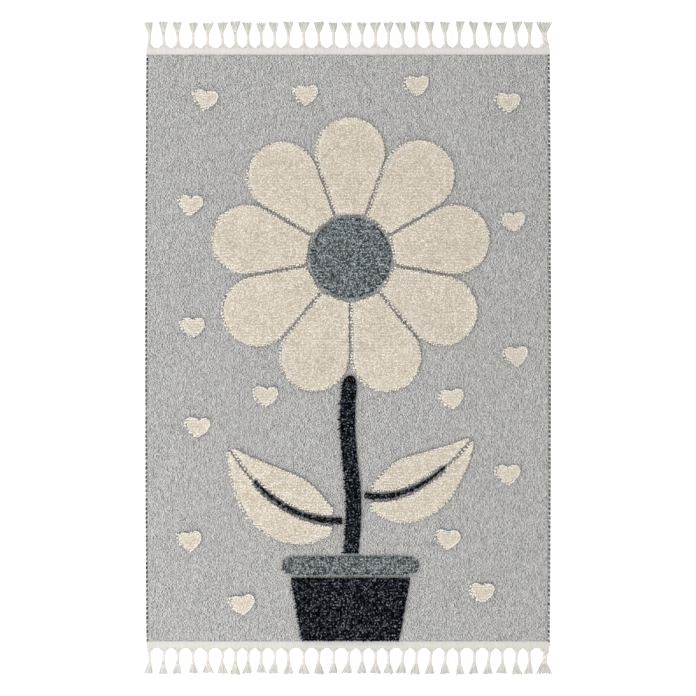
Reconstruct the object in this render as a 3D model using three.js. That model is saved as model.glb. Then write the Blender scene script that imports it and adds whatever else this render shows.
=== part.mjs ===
// A child's rug, 1.2 m wide: a flat-woven ground with a raised cut-pile picture of a potted flower among
// hearts, whipped yarn along both long edges, and a plain woven band with knotted tassels at each end.
// Millimetres, +Z up, +Y towards the flower's head, origin on the floor under the middle of the rug.
import * as THREE from 'three';
import { mergeVertices } from 'three/addons/utils/BufferGeometryUtils.js';

// Cloth
const RUG_WIDTH = 1200; // over the edge yarn, the mean along the rug
const SIDE_BOW = 3.6; // how much further each long edge stands out at mid length than at its ends
const FIELD_LENGTH = 1746; // between the two end bands
const GROUND_THICKNESS = 6;
const EDGE_YARN_WIDTH = 6;
const EDGE_YARN_HEIGHT = 7.5;
const SIDE_STEPS = 10; // straight steps that a bowed edge is drawn in
const SEAM = 0.3; // daylight between pieces that touch

// End bands and tassels
const BAND_DEPTH = 22;
const BAND_THICKNESS = 4.5;
const BAND_HALF_WIDTH = 596;
const BAND_CORNER = 8;
const TASSEL_COUNT = 29; // at each end
const TASSEL_ROW = 1170.5; // from the first tassel to the last
const TASSEL_SHIFT = -3.5; // of the row's middle
const ROOT_SHIFT = 9; // how far a neck may slant between its root and its knot
const NECK_LENGTH = 38; // from the band to the knot
const TUFT_LENGTH = 35; // from the knot to the cut ends
const TUFT_WIDTH = 31;
const DOUBLE_TUFT_WIDTH = 48; // the last tassel takes twice the yarn
const TUFT_LEAN = 7; // how much the tufts differ in where they point
const END_LEAN = 4; // the first and the last tuft lean out past the edges
const LOCKS_IN_TUFT = 4;
const LOCK_SHARE = 0.86; // of a lock's place at the cut ends, so that the ends stand apart
const LOCK_HEIGHT = 4.5; // at its cut end
const ARCH_FLAT = 3; // straight band edge between two tassels
const TOP_SHARE = 0.62; // a strand's ridge against its foot

// A neck from the band's edge to the knot: how far out along it, its width and its height.
const NECK_SECTIONS = [
  { along: 3.5, width: 23, height: 5 },
  { along: 9.5, width: 13, height: 6.5 },
  { along: 33, width: 10.5, height: 7.5 },
  { along: 37, width: 13.5, height: 9 },
];
const TUFT_ROOT = { along: 41, width: 11, height: 7.5 };

// Pile
const PILE_FOOT = GROUND_THICKNESS + SEAM;
const CHANNEL = 7; // bare ground carved between two areas of pile
const PILE_LUMP = 0.7; // how far the cut top wanders up and down
// The rings of a pile area from its foot to its crown: height above the floor, how far the ring stands in
// from the area's outline, and how far its locks stand out of it.
const PILE_RINGS = [
  { height: PILE_FOOT, inset: 2.5, lock: 0 },
  { height: 12, inset: 0.5, lock: 1.9 },
  { height: 15.8, inset: 5, lock: 1.2 },
  { height: 17, inset: 16, lock: 0 },
];
const CROWN_HEIGHT = 17.4;
const MOST_INSET = 0.62; // of the way to the area's spine

// Picture
const PICTURE_X = 8; // the stem's line, a little right of the middle
const FLOWER_Y = 268;
const FLOWER_REACH = 420; // to the tip of a petal
const PETAL_WANDER = 9; // how much the petals differ in length
const PETAL_COUNT = 9;
const PETAL_START = 127; // from the flower's middle
const CENTRE_RADIUS = 120;
const STEM_TOP = FLOWER_Y - 348;
const STEM_HALF_WIDTH = 23;
const STEM_SWAY = 9;
const STEM_ROUND = 40; // length of its rounded top
const POT_TOP = -617;
const RIM_HEIGHT = 56;
const RIM_HALF_WIDTH = 203;
const POT_TOP_HALF_WIDTH = 178;
const POT_FOOT_HALF_WIDTH = 144;
const POT_FOOT = -868;

// Leaves: where each leaves the stem, the point that bends its midline, its tip and its greatest half width.
const LEAVES = [
  { name: 'leaf_left', foot: [-17, -512], bend: [-215, -520], tip: [-354, -290], halfWidth: 100 },
  { name: 'leaf_right', foot: [49, -436], bend: [205, -468], tip: [376, -260], halfWidth: 96 },
];
const RIB_SHARE = 0.74; // of the leaf's length that its rib runs along
const RIB_HALF_WIDTH = 10;
const RIB_TIP_HALF_WIDTH = 4;
const RIB_CHANNEL = 5.6; // bare ground on each side of a rib
const BLADE_START = 0.07; // of the leaf's length, where its two blades begin and end
const BLADE_END = 0.975;
const LEAST_BLADE = 3;

// Hearts: the middle of each, and its turn in degrees.
const HEART_WIDTH = 74;
const HEART_HEIGHT = 60;
const HEART_FULLNESS = 1.8; // a lower power gives broader shoulders and straighter sides
const HEART_RISE = 25.6; // what the heart's formula spans, and how far its middle lies under 0
const HEART_LIFT = 1.8;
const HEARTS = [
  { x: -421, y: 736, turn: -8 },
  { x: -125, y: 750, turn: 2 },
  { x: 204, y: 777, turn: 4 },
  { x: 474, y: 727, turn: -3 },
  { x: -466, y: 424, turn: -6 },
  { x: 489, y: 374, turn: 3 },
  { x: -460, y: 62, turn: 0 },
  { x: 498, y: -24, turn: 5 },
  { x: -445, y: -234, turn: -4 },
  { x: 474, y: -374, turn: 2 },
  { x: -469, y: -572, turn: 6 },
  { x: 397, y: -724, turn: -2 },
  { x: -312, y: -759, turn: 7 },
  { x: -243, y: -142, turn: -5 },
  { x: 308, y: -150, turn: 6 },
  { x: 296, y: -566, turn: -4 },
];

const finish = (color, roughness) => new THREE.MeshStandardMaterial({ color, roughness, metalness: 0 });
const FINISHES = {
  flatWeave: () => finish(0xb5b4af, 0.95),
  edgeYarn: () => finish(0x55585b, 0.9),
  bandYarn: () => finish(0xe2dfd7, 0.85),
  creamPile: () => finish(0xd8cfc0, 0.95),
  charcoalPile: () => finish(0x26292e, 0.9),
  greyPile: () => finish(0x707478, 0.95),
};

// A number from 0 to 1 that looks random and is always the same for one pair of whole numbers.
function chance(index, kind) {
  const wave = Math.sin(index * 12.9898 + kind * 78.233) * 43758.5453;
  return wave - Math.floor(wave);
}

const between = (low, high, share) => low + (high - low) * share;

// Turns a list of triangles, each three [x, y, z] points, into one closed geometry that faces outwards.
function closed(triangles) {
  const soup = new THREE.BufferGeometry();
  soup.setAttribute('position', new THREE.Float32BufferAttribute(triangles.flat(2), 3));
  const welded = mergeVertices(soup, 1e-3);
  const place = welded.getAttribute('position');
  const [a, b, c] = [new THREE.Vector3(), new THREE.Vector3(), new THREE.Vector3()];
  const kept = [];
  let volume = 0;
  for (let i = 0; i < welded.index.count; i += 3) {
    const corners = [0, 1, 2].map((k) => welded.index.getX(i + k));
    if (new Set(corners).size < 3) continue;
    kept.push(corners);
    [a, b, c].forEach((point, k) => point.fromBufferAttribute(place, corners[k]));
    volume += a.dot(b.cross(c));
  }
  welded.setIndex((volume < 0 ? kept.map(([p, q, r]) => [p, r, q]) : kept).flat());
  return welded;
}

// The two triangles of each quad between two closed loops of points with the same count.
function wall(lower, upper) {
  return lower.flatMap((point, i) => {
    const next = (i + 1) % lower.length;
    return [
      [point, lower[next], upper[next]],
      [point, upper[next], upper[i]],
    ];
  });
}

const fan = (loop) => loop.slice(1, -1).map((point, i) => [loop[0], point, loop[i + 2]]);

// A solid through a row of convex sections.
function loft(sections) {
  const walls = sections.slice(1).flatMap((section, i) => wall(sections[i], section));
  const foot = fan(sections[0]).map(([p, q, r]) => [p, r, q]);
  return closed([...foot, ...walls, ...fan(sections[sections.length - 1])]);
}

// Ground and edges

const sideX = (y) => RUG_WIDTH / 2 + SIDE_BOW * (0.5 - (2 * y / FIELD_LENGTH) ** 2);
const sideStations = Array.from({ length: SIDE_STEPS + 1 }, (_, i) => FIELD_LENGTH * (i / SIDE_STEPS - 0.5));

function groundWeave() {
  const inset = EDGE_YARN_WIDTH + SEAM;
  const right = sideStations.map((y) => new THREE.Vector2(sideX(y) - inset, y));
  const left = right.map(({ x, y }) => new THREE.Vector2(-x, y)).reverse();
  const outline = new THREE.Shape([...right, ...left]);
  return new THREE.ExtrudeGeometry(outline, { depth: GROUND_THICKNESS, bevelEnabled: false });
}

// Yarn whipped over a long edge: an eight-sided bar with a flat underside.
function edgeYarn(side) {
  const corner = EDGE_YARN_WIDTH * 0.3;
  const [half, top] = [EDGE_YARN_WIDTH / 2, EDGE_YARN_HEIGHT];
  const section = [
    [corner - half, 0],
    [half - corner, 0],
    [half, corner],
    [half, top - corner],
    [half - corner, top],
    [corner - half, top],
    [-half, top - corner],
    [-half, corner],
  ];
  return loft(sideStations.map((y) => section.map(([x, z]) => [side * (sideX(y) - half + x), y, z])));
}

// Fringe

const BAND_EDGE = FIELD_LENGTH / 2 + BAND_DEPTH;

// Where tassel number i is knotted: an even row with the slow wander that the yarns were gathered with, a
// wander that the first few don't share.
function knotX(i) {
  const wander = (7 - 0.18 * i) * Math.cos(2 * Math.PI * (i - 4.5) / 9.8) - 1;
  return TASSEL_ROW * (i / (TASSEL_COUNT - 1) - 0.5) + TASSEL_SHIFT + wander * Math.min(i / 3, 1);
}

const rootX = (i) => knotX(i) + ROOT_SHIFT * (chance(i, 1) - 0.35);

// Both ends of the stretch of band that tassel number i gathers its yarns from.
function rootSpan(i) {
  const limit = BAND_HALF_WIDTH - BAND_CORNER;
  const low = i === 0 ? -limit : (rootX(i - 1) + rootX(i) + ARCH_FLAT) / 2;
  const high = i === TASSEL_COUNT - 1 ? limit : (rootX(i) + rootX(i + 1) - ARCH_FLAT) / 2;
  return [low, high];
}

// Fills the strip between two rows of points, whatever their counts. It faces the way of the row's direction
// times the direction from near to far.
function strip(near, far) {
  const faces = [];
  let [i, j] = [0, 0];
  while (i < near.length - 1 || j < far.length - 1) {
    const nearIsNext = (i + 1) / (near.length - 1) <= (j + 1) / (far.length - 1);
    if (nearIsNext) {
      faces.push([near[i], near[i + 1], far[j]]);
      i += 1;
    } else {
      faces.push([near[i], far[j + 1], far[j]]);
      j += 1;
    }
  }
  return faces;
}

// A section across a strand is a row of points on the floor and a narrower one above it, divided by shares.
function section(middle, { along, width, height }, shares = [0, 1]) {
  const y = BAND_EDGE + along;
  const row = (rowWidth, z) => shares.map((share) => [middle + rowWidth * (share - 0.5), y, z]);
  return { foot: row(width, 0), top: row(width * TOP_SHARE, height) };
}

// The faces of a strand between two sections, and those of its cut end.
function strandFaces(near, far) {
  const side = ({ foot, top }, at) => [foot.at(at), top.at(at)];
  return [
    ...strip(near.top, far.top),
    ...strip(near.foot.toReversed(), far.foot.toReversed()),
    ...strip(side(near, 0), side(far, 0)),
    ...strip(side(near, -1).reverse(), side(far, -1).reverse()),
  ];
}

const endFaces = ({ foot, top }) => strip(foot.toReversed(), top.toReversed());

// A tassel grows out of its stretch of band as one neck, and its knot has a place for each lock. The locks
// meet their neighbours only there.
function tasselFaces(i) {
  const last = i === TASSEL_COUNT - 1;
  const [low, high] = rootSpan(i);
  const root = {
    foot: [[low, BAND_EDGE, 0], [high, BAND_EDGE, 0]],
    top: [[low, BAND_EDGE, BAND_THICKNESS], [high, BAND_EDGE, BAND_THICKNESS]],
  };
  const neckX = (along) => between(rootX(i), knotX(i), along / NECK_LENGTH);
  const neck = NECK_SECTIONS.map((bar) => section(neckX(bar.along), bar));
  const places = Array.from({ length: LOCKS_IN_TUFT + 1 }, (_, k) => k / LOCKS_IN_TUFT);
  const knot = section(knotX(i), TUFT_ROOT, places);
  const sections = [root, ...neck, knot];

  const tuftWidth = last ? DOUBLE_TUFT_WIDTH : TUFT_WIDTH * between(0.86, 1.1, chance(i, 2));
  const endLean = last ? END_LEAN : -END_LEAN;
  const lean = i === 0 || last ? endLean : TUFT_LEAN * (chance(i, 3) - 0.5);
  const reach = NECK_LENGTH + TUFT_LENGTH * between(0.93, 1.05, chance(i, 4));
  const pitch = tuftWidth / LOCKS_IN_TUFT;
  const locks = places.slice(1).flatMap((_, k) => {
    const across = k - (LOCKS_IN_TUFT - 1) / 2;
    const along = reach - 2.5 * chance(i, 5 + k) - 0.8 * across ** 2;
    const cut = { along, width: pitch * LOCK_SHARE, height: LOCK_HEIGHT };
    const tip = section(knotX(i) + lean + across * pitch, cut);
    const start = { foot: knot.foot.slice(k, k + 2), top: knot.top.slice(k, k + 2) };
    return [...strandFaces(start, tip), ...endFaces(tip)];
  });
  return [...sections.slice(1).flatMap((far, k) => strandFaces(sections[k], far)), ...locks];
}

// The end band, open where a tassel grows out of it.
function bandFaces(spans) {
  const near = FIELD_LENGTH / 2 + SEAM;
  const corner = [0, 1, 2].map((k) => {
    const turn = k * Math.PI / 6;
    const x = BAND_HALF_WIDTH - BAND_CORNER * (1 - Math.cos(turn));
    return [x, BAND_EDGE - BAND_CORNER * (1 - Math.sin(turn))];
  });
  const farRow = [
    ...corner.map(([x, y]) => [-x, y]),
    ...spans.flat().map((x) => [x, BAND_EDGE]),
    ...corner.toReversed(),
  ];
  const nearRow = [-BAND_HALF_WIDTH, ...spans.map(([, high]) => high).slice(0, -1), BAND_HALF_WIDTH];
  const at = (row, z) => row.map(([x, y]) => [x, y, z]);
  const nearAt = (z) => at(nearRow.map((x) => [x, near]), z);
  const bottom = { near: nearAt(0), far: at(farRow, 0) };
  const top = { near: nearAt(BAND_THICKNESS), far: at(farRow, BAND_THICKNESS) };
  const roots = new Set(spans.map(([low]) => low));
  const outer = farRow.slice(1).flatMap(([x], k) => {
    if (roots.has(farRow[k][0])) return [];
    return strip([bottom.far[k + 1], bottom.far[k]], [top.far[k + 1], top.far[k]]);
  });
  return [
    ...strip(top.near, top.far),
    ...strip(bottom.near.toReversed(), bottom.far.toReversed()),
    ...strip(bottom.near, top.near),
    ...strip([bottom.near[0], top.near[0]], [bottom.far[0], top.far[0]]),
    ...strip([top.near.at(-1), bottom.near.at(-1)], [top.far.at(-1), bottom.far.at(-1)]),
    ...outer,
  ];
}

// A band with its row of knotted tassels, in one piece. side is 1 at the top end and -1 at the bottom end.
function fringe(side) {
  const numbers = Array.from({ length: TASSEL_COUNT }, (_, i) => i);
  const faces = [...bandFaces(numbers.map(rootSpan)), ...numbers.flatMap(tasselFaces)];
  return closed(faces.map((face) => face.map(([x, y, z]) => [x, side * y, z])));
}

// Pile

const lump = (x, y) => PILE_LUMP * Math.sin(x / 19 + 1.7 * Math.sin(y / 33)) * Math.cos(y / 23 - x / 61);

// A lumpy area of cut pile with locks at its rim. rim is its outline, and spine holds the inner point that
// each point of the rim faces, so that rings between them stay inside the outline.
function pileArea(rim, spine) {
  const ring = ({ height, inset, lock }) => rim.map((point, i) => {
    const reach = point.distanceTo(spine[i]);
    const inwards = Math.min(inset, MOST_INSET * reach) - (i % 2 ? lock : -lock);
    const { x, y } = point.clone().lerp(spine[i], inwards / reach);
    return [x, y, height === PILE_FOOT ? height : height + lump(x, y)];
  });
  const rings = PILE_RINGS.map(ring);
  const footLine = spine.map(({ x, y }) => [x, y, PILE_FOOT]);
  const crownLine = spine.map(({ x, y }) => [x, y, CROWN_HEIGHT + lump(x, y)]);
  const loops = [footLine, ...rings, crownLine];
  return closed(loops.slice(1).flatMap((loop, i) => wall(loops[i], loop)));
}

// Pile between two edges, each a function from 0 to 1. clampShare keeps the spine off both ends, endSteps
// draws a blunt end in that many steps, and ease moves the steps closer to a round end.
function pileBetween(edgeA, edgeB, { steps, clampShare = 0.1, endSteps = 1, ease = (s) => s }) {
  const shares = Array.from({ length: steps + 1 }, (_, i) => ease(i / steps));
  const middle = (s) => edgeA(s).lerp(edgeB(s), 0.5);
  const facing = (s) => middle(Math.min(Math.max(s, clampShare), 1 - clampShare));
  const along = shares.map((s) => [edgeA(s), facing(s)]);
  const back = shares.toReversed().map((s) => [edgeB(s), facing(s)]);
  const end = (from, to, s) => Array.from({ length: endSteps - 1 }, (_, k) => {
    return [from(s).lerp(to(s), (k + 1) / endSteps), facing(s)];
  });
  const blunt = (s) => edgeA(s).distanceTo(edgeB(s)) > 1;
  const pairs = [
    ...along,
    ...(blunt(1) ? end(edgeA, edgeB, 1) : []),
    ...(blunt(1) ? back : back.slice(1)),
    ...(blunt(0) ? end(edgeB, edgeA, 0) : []),
  ];
  const whole = blunt(0) ? pairs : pairs.slice(0, -1);
  return pileArea(whole.map(([point]) => point), whole.map(([, inner]) => inner));
}

function pileRound(outline, middle, count) {
  const rim = Array.from({ length: count }, (_, i) => outline(i / count).add(middle));
  return pileArea(rim, rim.map(() => middle));
}

// A full heart with a soft notch: across is a power of a sine, and up is a sum of four cosines.
function heart({ x, y, turn }) {
  const outline = (share) => {
    const t = 2 * Math.PI * share;
    const rise = 13 * Math.cos(t) - 3 * Math.cos(2 * t) - 1.2 * Math.cos(3 * t) - 0.4 * Math.cos(4 * t);
    const sway = Math.sin(t);
    const across = HEART_WIDTH / 2 * Math.sign(sway) * Math.abs(sway) ** HEART_FULLNESS;
    const point = new THREE.Vector2(across, HEART_HEIGHT * (rise + HEART_LIFT) / HEART_RISE);
    return point.rotateAround(new THREE.Vector2(), THREE.MathUtils.degToRad(turn));
  };
  return pileRound(outline, new THREE.Vector2(x, y), 20);
}

// A petal fills its share of the circle up to a channel, and ends in a round cap that meets both sides
// smoothly. wedgeShare of its edge runs straight.
function petal(number) {
  const halfTurn = Math.PI / PETAL_COUNT;
  const reach = FLOWER_REACH + PETAL_WANDER * (chance(number, 20) - 0.5);
  const capRadius = (reach * Math.sin(halfTurn) - CHANNEL / 2) / (1 + Math.sin(halfTurn));
  const capMiddle = reach - capRadius;
  const capStart = capMiddle - capRadius * Math.sin(halfTurn);
  const wedgeShare = 0.4;
  const turn = Math.PI / 2 + 2 * halfTurn * (number - 1);
  const edge = (side) => (share) => {
    const capTurn = between(-halfTurn, Math.PI / 2, Math.max(share - wedgeShare, 0) / (1 - wedgeShare));
    const inWedge = share < wedgeShare;
    const out = inWedge
      ? between(PETAL_START, capStart, share / wedgeShare)
      : capMiddle + capRadius * Math.sin(capTurn);
    const across = inWedge
      ? out * Math.tan(halfTurn) - CHANNEL / 2 / Math.cos(halfTurn)
      : capRadius * Math.cos(capTurn);
    const point = new THREE.Vector2(out, side * across).rotateAround(new THREE.Vector2(), turn);
    return point.add(new THREE.Vector2(PICTURE_X, FLOWER_Y));
  };
  return pileBetween(edge(-1), edge(1), { steps: 14, clampShare: 0.25, endSteps: 3 });
}

function flowerCentre() {
  const outline = (share) => {
    const turn = 2 * Math.PI * share;
    return new THREE.Vector2(Math.cos(turn), Math.sin(turn)).multiplyScalar(CENTRE_RADIUS);
  };
  return pileRound(outline, new THREE.Vector2(PICTURE_X, FLOWER_Y), 30);
}

// The stem sways once to each side, and its round top goes up between the two lowest petals.
function stem() {
  const foot = POT_TOP + CHANNEL;
  const length = STEM_TOP - foot;
  const edge = (side) => (share) => {
    const left = (1 - share) * length;
    const halfWidth = STEM_HALF_WIDTH * Math.sqrt(1 - Math.max(1 - left / STEM_ROUND, 0) ** 2);
    const x = PICTURE_X + STEM_SWAY * Math.sin(2 * Math.PI * share) + side * halfWidth;
    return new THREE.Vector2(x, foot + share * length);
  };
  const ease = (s) => 0.4 * s + 0.6 * Math.sin(Math.PI / 2 * s);
  return pileBetween(edge(1), edge(-1), { steps: 19, clampShare: 0.05, endSteps: 3, ease });
}

function potRim() {
  const edge = (side) => (share) => {
    const across = 2 * share - 1;
    const halfHeight = RIM_HEIGHT / 2 * (1 - Math.abs(across) ** 14) ** 0.5;
    const y = POT_TOP - RIM_HEIGHT / 2 + side * halfHeight;
    return new THREE.Vector2(PICTURE_X + RIM_HALF_WIDTH * across, y);
  };
  const ease = (s) => between(s, 0.5 - 0.5 * Math.cos(Math.PI * s), 0.8);
  return pileBetween(edge(-1), edge(1), { steps: 17, clampShare: 0.07, ease });
}

function potBody() {
  const edge = (y, halfWidth) => (share) => new THREE.Vector2(PICTURE_X + halfWidth * (2 * share - 1), y);
  const top = edge(POT_TOP - RIM_HEIGHT - CHANNEL, POT_TOP_HALF_WIDTH);
  return pileBetween(edge(POT_FOOT, POT_FOOT_HALF_WIDTH), top, { steps: 10, clampShare: 0.25, endSteps: 6 });
}

// A leaf has a charcoal rib on its midline and a cream blade on each side of it.
function leaf({ name, foot, bend, tip, halfWidth }) {
  const [start, pull, end] = [foot, bend, tip].map(([x, y]) => new THREE.Vector2(x, y));
  const midline = new THREE.QuadraticBezierCurve(start, pull, end);
  const offset = (distance) => (share) => {
    const { x, y } = midline.getTangent(share);
    const across = new THREE.Vector2(-y, x).multiplyScalar(distance(share) * Math.sign(tip[0]));
    return midline.getPoint(share).add(across);
  };
  const leafHalf = (share) => halfWidth * Math.sin(Math.PI * share ** 0.86) ** 0.85;
  const ribHalf = (share) => between(RIB_HALF_WIDTH, RIB_TIP_HALF_WIDTH, share / RIB_SHARE);
  const ribSide = (share) => (share < RIB_SHARE ? ribHalf(share) + RIB_CHANNEL : CHANNEL / 2);
  const inBlade = (share) => between(BLADE_START, BLADE_END, share);
  const blade = (side) => {
    const outer = offset((share) => side * Math.max(leafHalf(share), ribSide(share) + LEAST_BLADE));
    const inner = offset((share) => side * ribSide(share));
    const [edgeA, edgeB] = [(s) => outer(inBlade(s)), (s) => inner(inBlade(s))];
    return pileBetween(edgeA, edgeB, { steps: 13, clampShare: 0.1 });
  };
  const ribEdge = (side) => {
    const edge = offset((share) => side * ribHalf(share));
    return (s) => edge(s * RIB_SHARE);
  };
  const rib = pileBetween(ribEdge(1), ribEdge(-1), { steps: 9, clampShare: 0.06 });
  return [
    [`${name}_upper`, blade(1), 'creamPile'],
    [`${name}_lower`, blade(-1), 'creamPile'],
    [`${name}_rib`, rib, 'charcoalPile'],
  ];
}

const numbered = (name, number) => `${name}_${String(number).padStart(2, '0')}`;

const pieces = [
  ['ground_weave', groundWeave(), 'flatWeave'],
  ['edge_yarn_left', edgeYarn(-1), 'edgeYarn'],
  ['edge_yarn_right', edgeYarn(1), 'edgeYarn'],
  ['fringe_top', fringe(1), 'bandYarn'],
  ['fringe_bottom', fringe(-1), 'bandYarn'],
  ...HEARTS.map((place, i) => [numbered('heart', i + 1), heart(place), 'creamPile']),
  ...Array.from({ length: PETAL_COUNT }, (_, i) => [numbered('petal', i + 1), petal(i + 1), 'creamPile']),
  ['flower_centre', flowerCentre(), 'greyPile'],
  ['stem', stem(), 'charcoalPile'],
  ...LEAVES.flatMap(leaf),
  ['pot_rim', potRim(), 'greyPile'],
  ['pot_body', potBody(), 'charcoalPile'],
];

const rug = new THREE.Group();
for (const [name, geometry, finishName] of pieces) {
  const mesh = new THREE.Mesh(geometry, FINISHES[finishName]());
  mesh.name = name;
  rug.add(mesh);
}

export default rug;
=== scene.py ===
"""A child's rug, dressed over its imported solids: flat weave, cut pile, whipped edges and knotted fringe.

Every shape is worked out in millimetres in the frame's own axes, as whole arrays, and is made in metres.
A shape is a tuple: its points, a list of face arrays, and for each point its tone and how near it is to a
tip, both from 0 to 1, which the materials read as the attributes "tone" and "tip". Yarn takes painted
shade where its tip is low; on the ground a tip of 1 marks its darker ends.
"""
import math
from functools import partial

import bpy
import numpy as np
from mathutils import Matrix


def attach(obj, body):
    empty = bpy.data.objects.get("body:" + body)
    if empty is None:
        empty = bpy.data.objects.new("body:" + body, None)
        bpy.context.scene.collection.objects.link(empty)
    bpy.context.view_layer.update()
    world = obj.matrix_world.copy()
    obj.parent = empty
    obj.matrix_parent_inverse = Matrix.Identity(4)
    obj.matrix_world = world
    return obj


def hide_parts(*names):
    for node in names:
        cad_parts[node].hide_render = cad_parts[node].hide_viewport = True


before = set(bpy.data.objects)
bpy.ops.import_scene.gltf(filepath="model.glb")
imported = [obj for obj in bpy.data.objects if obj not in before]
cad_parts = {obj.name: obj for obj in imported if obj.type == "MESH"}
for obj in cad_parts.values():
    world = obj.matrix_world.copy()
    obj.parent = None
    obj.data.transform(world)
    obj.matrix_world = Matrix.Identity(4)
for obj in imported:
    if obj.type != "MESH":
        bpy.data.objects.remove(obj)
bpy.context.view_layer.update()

MM = 0.001
random = np.random.default_rng(29)

# Cloth
RUG_WIDTH = 1200
SIDE_BOW = 3.6
FIELD_LENGTH = 1746
GROUND_THICKNESS = 6
EDGE_YARN_WIDTH = 6
EDGE_YARN_HEIGHT = 7.5
SEAM = 0.3
BUMP_PITCH = 6  # from one bump of the ground's mesh to the next
BUMP_DEPTH = 0.2
STITCH_WIDTH = 2.6  # of the ground's weave, across the rug
STITCH_LENGTH = 2.3
STITCH_START = (1000, 1000, 0)  # what the count of stitches is at the middle, so that none is below 0
END_DIP = 1.4  # how far below the bands' top the field's ends lie

# Whipped edges
WRAP_PITCH = 4.5
WRAP_STEPS = 8
WRAP_SIDES = 5
WRAP_HALF_THICKNESS = 1.25
WRAP_HALF_WIDTHS = (0.64, 0.44)  # of a dark and a pale turn, as shares of the pitch
PALE_EVERY = 3  # one turn in so many is pale
TURN_SPREAD = 0.4  # how far a turn's tone is from dark or pale at most
WRAP_PROUD = 0.9  # how far the yarn stands out past the edge of the solid
CORE_HALF_WIDTH = 2.1  # of the bar inside the turns
CORE_HALF_HEIGHT = 2.8

# End bands
BAND_DEPTH = 22
BAND_THICKNESS = 4.5
BAND_HALF_WIDTH = 596
BAND_OVERHANG = 2.8  # how far its weave reaches past that at each side
BAND_CORNER = 6  # the radius of its corners
BAND_EDGE = FIELD_LENGTH / 2 + BAND_DEPTH
BAND_POINTS = 13  # from the ground to its edge
BAND_BUMP = 0.22
BAND_YARN = 3.5  # from one warp yarn to the next
BAND_ARCH = 3  # how far the band draws back between two tassels
BAND_FLARE = 3  # how far it follows a tassel out
FLARE_REACH = 5.5
BAND_LAP = 2.6  # how far it covers the field's end, which dips under it
SEAM_STITCH = 5.2  # from one stitch along the seam to the next

# Tassels
TASSEL_COUNT = 29
TASSELS = np.arange(TASSEL_COUNT)
TASSEL_ROW = 1170.5
TASSEL_SHIFT = -3.5
ROOT_SHIFT = 9
ROOT_HALF_WIDTH = 10.5  # how much further than in the neck a tassel's yarns start from its middle
ROOT_FALL = 5.6  # how soon they draw in
NECK_LENGTH = 38
NECK_HALF_WIDTH = 3.2
NECK_YARNS = 8
NECK_TWIST = 1.7  # in half turns
KNOT_HALF_WIDTH = 3.4
KNOT_HALF_HEIGHT = 2.2
KNOT_MIDDLE = 4.2  # above the floor
KNOT_CLIMB = 1.235  # along the tassel for each half turn
YARN_RADIUS = 1.8
TUFT_YARN_RADIUS = 1.25
TUFT_LENGTH = 35
TUFT_WIDTH = 31
DOUBLE_TUFT_WIDTH = 48  # the last tassel takes twice the yarn
DOUBLE_NECK = 1.9  # how much wider its neck is
DOUBLE_YARN = 1.3  # how much wider its yarns are
DOUBLE_SHIFT = 2.5  # how far its neck lies towards the edge
TUFT_LEAN = 7
END_LEAN = 4
TUFT_YARNS = 26
LOCKS_IN_TUFT = 4

# Pile
PILE_FOOT = GROUND_THICKNESS + SEAM
CHANNEL = 7
SAME_POINT = 0.001  # nearer than this, two points of an outline are one
PILE_LUMP = 0.7
CROWN_HEIGHT = 17.4
BED_TOP = CROWN_HEIGHT - 2.4  # what shows between the tufts ends here
BED_RINGS = ((PILE_FOOT, 3.4), (9, 2.6), (12.6, 5.5), (BED_TOP, 14))  # height, and inset from the outline
MOST_INSET = 0.62  # as a share of the way to the inner point
TUFT_PITCH = (3.6, 4.5)  # across and along the rug
RIM_PITCH = 3.4  # from one tuft to the next along an outline
RIM_INSET = (1.7, 4.2)  # of those tufts, at least and at most
LEAST_INSET = 1.5  # from any part of the outline, or the tuft is left out
GRID_INSET = 3.6  # the same for the tufts of the grid
GRID_CHANCE = 0.8  # how far from its place in the grid a tuft may stand
CUT_DISTANCES = (0, 4, 14, 40)  # from the outline
CUT_HEIGHTS = (14.6, 16.3, 17.1, CROWN_HEIGHT - 0.1)  # of the tufts that far from it
STRAY_WAY = (-0.99, 0.1)  # the way in which tufts by an outline reach out furthest
STRAY_REACH = 6.5  # how many times as far they splay there, at most
SPLAY = 0.2  # how far a tuft at the outline splays for each millimetre that it stands up
SPLAY_DISTANCE = 7  # from the outline, where it has fallen to nothing
SPLAY_AGAINST_NAP = 0.4  # as a share of that
# The bed's painted shade: the further this is from 1, the darker the pile between its tufts.
BED_TIP = 0.34  # how near to a tip's colour the pile is between its tufts
SUNK_SHARE = 0.08  # of the tufts, which are cut shorter
SUNK_DEPTH = 1.6
TUFT_FOOT = 1.7  # from its middle to a corner
TUFT_TOP = 2.3
TUFT_TILT = 0.16  # how much lower a top's corner is on the side to which it leans
ROW_TONE = 0.1  # how much of a tuft's tone comes from whether its row is odd
ROW_STEP = 0.2  # every other row of tufts stands higher by this much, the rest lower
CUT_SPREAD = 0.3  # how much the heights of single tufts differ by chance
NAP = (-0.1, -0.1)  # how far the pile leans for each millimetre that it stands up
LEAN_SPREAD = 0.08
NOTCH_HEIGHT = 0.45  # of a notch along an outline, as a share of its neighbours'
CLUMPING = 0.15  # the share of a tuft's tone that it has in common with its neighbours
# Painted light: cream pile near its outline is paler, as on lit, splayed tufts.
RIM_LIGHT_REACH = 19  # how far from its outline cream pile is paler

# Picture
PICTURE_X = 8
FLOWER_Y = 268
FLOWER_REACH = 420
PETAL_WANDER = 9
PETAL_COUNT = 9
PETAL_START = 127
CENTRE_RADIUS = 120
STEM_TOP = FLOWER_Y - 348
STEM_HALF_WIDTH = 23
STEM_SWAY = 9
STEM_ROUND = 40
POT_TOP = -617
RIM_HEIGHT = 56
RIM_HALF_WIDTH = 203
POT_TOP_HALF_WIDTH = 178
POT_FOOT_HALF_WIDTH = 144
POT_FOOT = -868

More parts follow.
